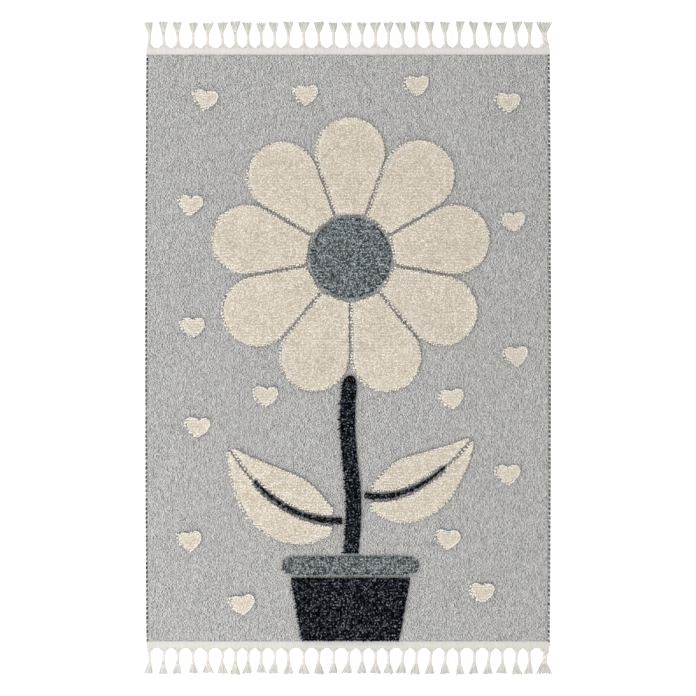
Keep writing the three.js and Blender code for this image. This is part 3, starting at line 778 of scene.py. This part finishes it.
def pile_tufts(rim, paling, spread, notched_from):
    """Tufts of cut pile, which lean with the nap about their middles and are lower by the outline. There they
    splay outwards as well, and every other row strays far where the outline faces the stray way. Every other
    tuft along the outline is a short notch, painted dark as shadow, where outwards and the stray way make a
    cosine over notched_from. Tones differ from the middle one by the share spread, and near the outline they
    grow towards 1 by a given share, as painted light on splayed sides. Sunk tufts and notches take painted
    shade, as does every tuft towards its foot."""
    feet, by_rim = tuft_feet(rim)
    count = len(feet)
    way = to_rim(feet, rim)
    far = np.linalg.norm(way, axis=1)
    outwards = unit(way)
    column, row = np.round(feet / TUFT_PITCH).T
    clump = row // 2 * 31.7 + column // 2 * 17.3

    top_z = np.interp(far, CUT_DISTANCES, CUT_HEIGHTS) + lump(*feet.T)
    uneven = random.normal(0, CUT_SPREAD, count).clip(-0.9, 0.5)
    top_z = top_z + ROW_STEP * (1 - 2 * (row % 2)) + uneven
    sunk = random.random(count) < SUNK_SHARE
    top_z = top_z - SUNK_DEPTH * sunk
    foot_z = np.interp(far, [0, 6], [PILE_FOOT + 0.4, 10])
    along_rim = np.where(np.abs(outwards[:, 0]) > 0.6, row, column)
    notch = by_rim & (along_rim % 2 == 0) & (outwards @ STRAY_WAY > notched_from)
    top_z = np.where(notch, between(foot_z, top_z, NOTCH_HEIGHT), top_z)

    stands = (top_z - foot_z)[:, None]
    near_rim = np.clip(1 - far / SPLAY_DISTANCE, 0, 1)
    every_other = row % 2 * between(0.4, 1, chance(row * 3.7 + column // 9, 60))
    facing = np.maximum(outwards @ STRAY_WAY, 0)
    stray = 0.4 + 1.2 * chance(clump, 62) + facing * (STRAY_REACH * every_other - 0.5)
    with_nap = outwards @ unit(np.array(NAP))
    splay = outwards * (SPLAY * near_rim * stray * np.where(with_nap < 0, SPLAY_AGAINST_NAP, 1))[:, None]
    lean = (np.array(NAP) + splay + random.normal(0, LEAN_SPREAD, feet.shape)) * stands
    points, faces = shafts(feet - np.array(NAP) / 2 * stands, lean, foot_z, top_z)

    tone = between(0.5, between(random.random(count), chance(clump, 61), CLUMPING), spread)
    # Painted shade: sunk tufts and notches take the darkest tone; where the outline has painted light, the
    # other tufts are a little darker.
    tone = np.where(sunk | notch, 0, between(tone, row % 2, ROW_TONE) * between(1, 0.88, paling))
    # Painted light: near the outline the tones grow paler, as on the lit sides of splayed tufts.
    pale = paling * np.clip(1 - far / RIM_LIGHT_REACH, 0, 1) * random.uniform(0.7, 1, count) * (1 - notch)
    tone = np.repeat(between(tone, 1, pale), 8)
    # Painted shade down each tuft: its foot takes the root's shade colour, less near the outline, and so does
    # a notch's top.
    tip = np.repeat(np.column_stack([0.35 * near_rim * (1 - notch), 1 - 0.8 * notch]), 4, 1).ravel()
    return shape(points, faces, tone, tip)


# Materials


def place(tree, kind, settings=None, inputs=None):
    """Adds a node, sets its properties, and fills its inputs with numbers or links."""
    node = tree.nodes.new(kind)
    for key, value in (settings or {}).items():
        setattr(node, key, value)
    for key, value in (inputs or {}).items():
        if isinstance(value, bpy.types.NodeSocket):
            tree.links.new(value, node.inputs[key])
        else:
            node.inputs[key].default_value = value
    return node


def math_node(tree, operation, *values):
    inputs = dict(enumerate(values))
    return place(tree, "ShaderNodeMath", {"operation": operation}, inputs).outputs[0]


def mixed(tree, factor, a, b, blend="MIX"):
    """A colour between a and b."""
    settings = {"data_type": "RGBA", "blend_type": blend}
    return place(tree, "ShaderNodeMix", settings, {0: factor, 6: a, 7: b}).outputs[2]


def attribute(tree, name, output="Fac"):
    return place(tree, "ShaderNodeAttribute", {"attribute_name": name}).outputs[output]


def new_group(name, inputs, outputs):
    """A node group with named sockets. Returns its tree, the sockets inside, and its exit node."""
    tree = bpy.data.node_groups.new(name, "ShaderNodeTree")
    for label, (kind, value) in inputs.items():
        tree.interface.new_socket(name=label, in_out="INPUT", socket_type=kind).default_value = value
    for label, kind in outputs.items():
        tree.interface.new_socket(name=label, in_out="OUTPUT", socket_type=kind)
    return tree, tree.nodes.new("NodeGroupInput").outputs, tree.nodes.new("NodeGroupOutput").inputs


COLOUR, NUMBER, VECTOR = "NodeSocketColor", "NodeSocketFloat", "NodeSocketVector"
GREY = (0.5, 0.5, 0.5, 1)
BUMP_DISTANCE = 0.4
SWAPPED_SHARE = 0.58  # of a short fleck's chance. The rest is its own column's


def shaded(tree, colour, shade):
    """A colour made lighter or darker by a shade round 1."""
    grey = place(tree, "ShaderNodeCombineColor", {}, {0: shade, 1: shade, 2: shade}).outputs[0]
    return mixed(tree, 1.0, colour, grey, "MULTIPLY")


def noise_shade(tree, amount, inputs):
    """A noise, and the shade round 1 that so much of it makes."""
    noise = place(tree, "ShaderNodeTexNoise", {}, inputs).outputs[0]
    off = math_node(tree, "SUBTRACT", noise, 0.5)
    return noise, math_node(tree, "MULTIPLY_ADD", off, amount, 1.0)


def fibre_group():
    """Fine fibres: a stretched noise, as a shade round 1 and as a height."""
    inputs = {"Stretch": (VECTOR, (1, 1, 1)), "Fineness": (NUMBER, 900), "Contrast": (NUMBER, 0.2)}
    tree, given, result = new_group("yarn_fibres", inputs, {"Shade": NUMBER, "Height": NUMBER})
    stretch = {0: place(tree, "ShaderNodeTexCoord").outputs["Object"], 1: given["Stretch"]}
    scaled = place(tree, "ShaderNodeVectorMath", {"operation": "MULTIPLY"}, stretch).outputs[0]
    fine = {"Vector": scaled, "Scale": given["Fineness"], "Detail": 2.0, "Roughness": 0.6}
    noise, shade = noise_shade(tree, given["Contrast"], fine)
    tree.links.new(shade, result["Shade"])
    tree.links.new(noise, result["Height"])
    return tree


def nap_shade_and_wear_group():
    """Slow clouds in a colour, as painted shade from the way that pile and yarn lie, and as wear: a coarse
    noise that shades it.
    """
    inputs = {"Color": (COLOUR, GREY), "Amount": (NUMBER, 0.1), "Scale": (NUMBER, 9.0)}
    tree, given, result = new_group("nap_shade_and_wear_clouds", inputs, {"Color": COLOUR})
    place_at = place(tree, "ShaderNodeTexCoord").outputs["Object"]
    coarse = {"Vector": place_at, "Scale": given["Scale"], "Detail": 3.0}
    _, shade = noise_shade(tree, given["Amount"], coarse)
    tree.links.new(shaded(tree, given["Color"], shade), result["Color"])
    return tree


def tone_and_root_shade_group():
    """The colour of a yarn: between two tones by the yarn's own tone, and darkened towards its root by
    painted shade, the shade down in the pile, by the square of how far it is from its tip."""
    colours = {label: (COLOUR, GREY) for label in ("Dark", "Light", "Root shade")}
    inputs = {**colours, "Root share": (NUMBER, 0.6), "Bias": (NUMBER, 1.0)}
    tree, given, result = new_group("yarn_tone_and_root_shade", inputs, {"Color": COLOUR})
    tone = math_node(tree, "POWER", attribute(tree, "tone"), given["Bias"])
    colour = mixed(tree, tone, given["Dark"], given["Light"])
    tip = attribute(tree, "tip")
    # Painted shade: the further from its tip, the more of the root's shade colour it takes.
    from_tip = math_node(tree, "POWER", math_node(tree, "SUBTRACT", 1.0, tip), 2.0)
    root_shading = math_node(tree, "MULTIPLY", from_tip, given["Root share"])
    tree.links.new(mixed(tree, root_shading, colour, given["Root shade"]), result["Color"])
    return tree


def stitch_group():
    """Which stitch of a weave a point is in, from the attribute "weave" that counts columns and stitches. The
    stitches of every other column lie half a stitch on, and the yarn's own changes of colour start anywhere.
    Gives one chance for each short fleck and each long one, and the stitch's rise. Two yarns swap places in a
    pair of columns, so where one shows the pale yarn the other shows the dark one."""
    outputs = {"Fleck": NUMBER, "Long fleck": NUMBER, "Rise": NUMBER}
    tree, given, result = new_group("weave_stitches", {"Long": (NUMBER, 3.0)}, outputs)

    def noise_at(across, along):
        vector = place(tree, "ShaderNodeCombineXYZ", {}, {0: across, 1: along}).outputs[0]
        settings = {"noise_dimensions": "2D"}
        return place(tree, "ShaderNodeTexWhiteNoise", settings, {"Vector": vector}).outputs["Value"]

    def arch(value):
        share = math_node(tree, "FRACT", value)
        return math_node(tree, "SINE", math_node(tree, "MULTIPLY", share, math.pi))

    weave = place(tree, "ShaderNodeSeparateXYZ", {}, {0: attribute(tree, "weave", "Vector")}).outputs
    column = math_node(tree, "FLOOR", weave[0])
    parity = math_node(tree, "MODULO", column, 2.0)
    pair = math_node(tree, "FLOOR", math_node(tree, "MULTIPLY", column, 0.5))
    one_number = {"noise_dimensions": "1D"}
    pair_start = place(tree, "ShaderNodeTexWhiteNoise", one_number, {"W": pair}).outputs["Value"]
    start = math_node(tree, "ADD", weave[1], pair_start)

    short = math_node(tree, "FLOOR", start)
    swapped = math_node(tree, "ABSOLUTE", math_node(tree, "SUBTRACT", parity, noise_at(pair, short)))
    own = math_node(tree, "MULTIPLY", noise_at(column, short), 1 - SWAPPED_SHARE)
    tree.links.new(math_node(tree, "MULTIPLY_ADD", swapped, SWAPPED_SHARE, own), result["Fleck"])

    long = math_node(tree, "FLOOR", math_node(tree, "DIVIDE", start, given["Long"]))
    far_off = math_node(tree, "ADD", long, 5000.0)
    tree.links.new(noise_at(column, far_off), result["Long fleck"])

    along = math_node(tree, "ADD", weave[1], math_node(tree, "MULTIPLY", parity, 0.5))
    tree.links.new(math_node(tree, "MULTIPLY", arch(weave[0]), arch(along)), result["Rise"])
    return tree


FIBRES = fibre_group()
NAP_SHADE_AND_WEAR = nap_shade_and_wear_group()
TONE_AND_ROOT_SHADE = tone_and_root_shade_group()
STITCHES = stitch_group()


def new_material(name, roughness, sheen, gloss=0.2):
    """A material and its Principled shader, with the values that are the same all over it."""
    material = bpy.data.materials.new(name)
    material.use_nodes = True
    tree = material.node_tree
    shader = tree.nodes["Principled BSDF"]
    shader.inputs["Roughness"].default_value = roughness
    shader.inputs["Specular IOR Level"].default_value = gloss
    shader.inputs["Sheen Weight"].default_value = sheen
    shader.inputs["Sheen Roughness"].default_value = 0.5
    return material, tree, shader


def use(tree, group, inputs):
    return place(tree, "ShaderNodeGroup", {"node_tree": group}, inputs).outputs


def finish_surface(tree, shader, colour, height, strength):
    """Links a colour and a bump to the shader."""
    inputs = {"Height": height, "Strength": strength, "Distance": BUMP_DISTANCE * MM}
    tree.links.new(place(tree, "ShaderNodeBump", {}, inputs).outputs[0], shader.inputs["Normal"])
    tree.links.new(colour, shader.inputs["Base Color"])


# The ground's flecks: the chance at which each grey stands, and its colour.
DARK_FLECK = (0.19, (0.09, 0.09, 0.09, 1))
MIDDLE_FLECK = (0.49, (0.312, 0.309, 0.301, 1))
LIGHT_FLECK = (0.81, (0.56, 0.555, 0.54, 1))
SIDE_COLOUR = (0.5, 0.5, 0.49, 1)
END_COLOUR = (0.12, 0.12, 0.12, 1)


def flat_weave():
    """Melange yarn: each fleck takes a grey by chance, and so does each longer stretch of yarn."""
    material, tree, shader = new_material("flat_weave", 0.95, 0.05)
    weave = use(tree, STITCHES, {"Long": 8.0})
    share = math_node(tree, "MULTIPLY", weave["Long fleck"], 0.1)
    share = math_node(tree, "MULTIPLY_ADD", weave["Fleck"], 0.9, share)
    ramp = place(tree, "ShaderNodeValToRGB", {}, {0: share})
    stops = ramp.color_ramp.elements
    stops[0].position, stops[0].color = DARK_FLECK
    stops[1].position, stops[1].color = LIGHT_FLECK
    middle = stops.new(MIDDLE_FLECK[0])
    middle.color = MIDDLE_FLECK[1]
    pale = math_node(tree, "MULTIPLY", attribute(tree, "tone"), 0.3)
    dark = math_node(tree, "MULTIPLY", attribute(tree, "tip"), math_node(tree, "POWER", weave["Fleck"], 3.0))
    colour = mixed(tree, pale, ramp.outputs[0], SIDE_COLOUR)
    colour = mixed(tree, dark, colour, END_COLOUR)
    # Slow clouds of painted nap shade and wear.
    colour = use(tree, NAP_SHADE_AND_WEAR, {"Color": colour, "Amount": 0.1, "Scale": 5.0})[0]
    fibre = use(tree, FIBRES, {"Stretch": (2.0, 1.0, 1.0), "Fineness": 800.0, "Contrast": 0.3})
    colour = shaded(tree, colour, fibre["Shade"])
    height = math_node(tree, "MULTIPLY_ADD", fibre["Height"], 0.35, weave["Rise"])
    finish_surface(tree, shader, colour, height, 0.4)
    return material


def yarn(name, dark, light, root, root_shade_share, bias=1.0, sheen=0.1, clouds=0.1, gloss=0.2):
    """A yarn finish: its two tones, the colour of its painted root shade, its fibres, and its slow clouds
    of painted nap shade and wear.
    """
    material, tree, shader = new_material(name, 0.92, sheen, gloss)
    tones = {"Dark": (*dark, 1), "Light": (*light, 1), "Root shade": (*root, 1)}
    tint = use(tree, TONE_AND_ROOT_SHADE, {**tones, "Root share": root_shade_share, "Bias": bias})[0]
    tint = use(tree, NAP_SHADE_AND_WEAR, {"Color": tint, "Amount": clouds, "Scale": 9.0})[0]
    fibres = use(tree, FIBRES, {"Stretch": (1.0, 1.0, 1.0), "Fineness": 700.0, "Contrast": 0.3})
    tint = shaded(tree, tint, fibres["Shade"])
    finish_surface(tree, shader, tint, fibres["Height"], 0.35)
    return material


# Each yarn's dark and light tone, its root's colour of painted shade, and how much of that shows at
# the root.
YARNS = {
    "edge_yarn": ((0.03, 0.031, 0.034), (0.8, 0.79, 0.77), (0.04, 0.04, 0.04), 0.1),
    "band_yarn": ((0.47, 0.456, 0.425), (0.69, 0.67, 0.625), (0.4, 0.388, 0.36), 0.6),
    "cream_pile": ((0.54, 0.45, 0.315), (0.915, 0.89, 0.84), (0.15, 0.125, 0.095), 0.9),
    "charcoal_pile": ((0.0005, 0.0006, 0.001), (0.275, 0.31, 0.37), (0.0, 0.0, 0.0), 0.9),
    "grey_pile": ((0.006, 0.007, 0.008), (0.55, 0.622, 0.655), (0.01, 0.012, 0.014), 0.95),
}
# What else differs from one yarn to another; its clouds are painted nap shade and wear.
YARN_LOOKS = {
    "cream_pile": {"sheen": 0.15, "clouds": 0.14},
    "charcoal_pile": {"bias": 4.5, "sheen": 0.0, "clouds": 0.3, "gloss": 0.0},
    "grey_pile": {"bias": 1.7, "clouds": 0.2},
}
FINISHES = {"flat_weave": flat_weave()}
for name, tones in YARNS.items():
    FINISHES[name] = yarn(name, *tones, **YARN_LOOKS.get(name, {}))

# The rug

# How tufts are cut and coloured by the outline of a heart, of another cream area and of a dark one.
ALL_ROUND = -2  # less than any cosine
HEART_CUT = {"paling": 0.8, "spread": 0.5, "notched_from": 0.3}
CREAM_CUT = {"paling": 0.55, "spread": 1, "notched_from": ALL_ROUND}
DARK_CUT = {"paling": 0, "spread": 1, "notched_from": ALL_ROUND}

pile_areas = {}
for number, (x, y, turn) in enumerate(HEARTS, 1):
    pile_areas[f"heart_{number:02d}"] = (heart_outline(x, y, turn), "cream_pile", HEART_CUT)
for number in range(1, PETAL_COUNT + 1):
    pile_areas[f"petal_{number:02d}"] = (petal_outline(number), "cream_pile", CREAM_CUT)
pile_areas["flower_centre"] = (centre_outline(), "grey_pile", DARK_CUT)
pile_areas["stem"] = (stem_outline(), "charcoal_pile", DARK_CUT)
for leaf_name, sizes in LEAVES.items():
    for area_name, outline in leaf_outlines(leaf_name, **sizes).items():
        looks = ("charcoal_pile", DARK_CUT) if area_name.endswith("rib") else ("cream_pile", CREAM_CUT)
        pile_areas[area_name] = (outline, *looks)
pile_areas["pot_rim"] = (rim_outline(), "grey_pile", DARK_CUT)
pile_areas["pot_body"] = (pot_outline(), "charcoal_pile", DARK_CUT)

for area_name, ((rim, spine), slot, cut) in pile_areas.items():
    parts = joined([pile_bed(rim, spine), pile_tufts(rim, **cut)])
    make_piece(f"{area_name}_pile", parts, slot, [area_name])

for side_name, side in (("left", -1), ("right", 1)):
    node = f"edge_yarn_{side_name}"
    make_piece(f"{node}_wraps", edge_wraps(side), "edge_yarn", [node])

for end_name, end in (("top", 1), ("bottom", -1)):
    node = f"fringe_{end_name}"
    parts = joined([band(end), band_stitches(end)])
    weave = make_piece(f"band_{end_name}", parts, "band_yarn", [node])
    parts = joined([neck_yarns(end), knots(end), tuft_yarns(end)])
    tassels = make_piece(f"tassels_{end_name}", parts, "band_yarn", [node])

parts, stitches = ground_weave()
ground = make_piece("ground", parts, "flat_weave", ["ground_weave"], {"weave": stitches})

# Floor, light and camera


def floor():
    half = 20.0
    corners = [(-half, -half, 0), (half, -half, 0), (half, half, 0), (-half, half, 0)]
    mesh = bpy.data.meshes.new("floor")
    mesh.from_pydata(corners, [], [(0, 1, 2, 3)])
    material = bpy.data.materials.new("floor")
    material.use_nodes = True
    shader = material.node_tree.nodes["Principled BSDF"]
    shader.inputs["Base Color"].default_value = (0.9, 0.9, 0.9, 1)
    shader.inputs["Roughness"].default_value = 0.9
    shader.inputs["Emission Color"].default_value = (1, 1, 1, 1)
    shader.inputs["Emission Strength"].default_value = 0.3
    mesh.materials.append(material)
    plane = new_object("floor", mesh)


def light(name, kind, place_at, energy, **settings):
    """A light that faces the rug's middle. A sun's place gives only the way it shines."""
    data = bpy.data.lights.new(name, kind)
    data.energy = energy
    for key, value in settings.items():
        setattr(data, key, value)
    lamp = new_object(name, data)
    lamp.location = place_at
    aim = -np.array(place_at)
    lamp.rotation_euler = (math.atan2(math.hypot(aim[0], aim[1]), -aim[2]), 0, math.atan2(-aim[0], aim[1]))


def camera():
    data = bpy.data.cameras.new("camera")
    data.lens = LENS
    data.sensor_width = SENSOR
    data.clip_end = 100
    view = new_object("camera", data)
    view.location = (0, 0, (GROUND_THICKNESS + FRAME_WIDTH * LENS / SENSOR) * MM)
    bpy.context.scene.camera = view


floor()
light("window", "AREA", (-1.2, -2.0, 2.4), 37, shape="SQUARE", size=1.6)
light("far_window", "AREA", (-1.5, 2.1, 2.4), 25, shape="SQUARE", size=1.6)
light("sky", "SUN", (-0.5, -0.7, 1.9), 0.4, angle=0.4)
world = bpy.data.worlds.new("studio")
world.use_nodes = True
world.node_tree.nodes["Background"].inputs["Color"].default_value = (1, 1, 1, 1)
world.node_tree.nodes["Background"].inputs["Strength"].default_value = 0.92
bpy.context.scene.world = world
bpy.context.scene.view_settings.view_transform = "Standard"
camera()
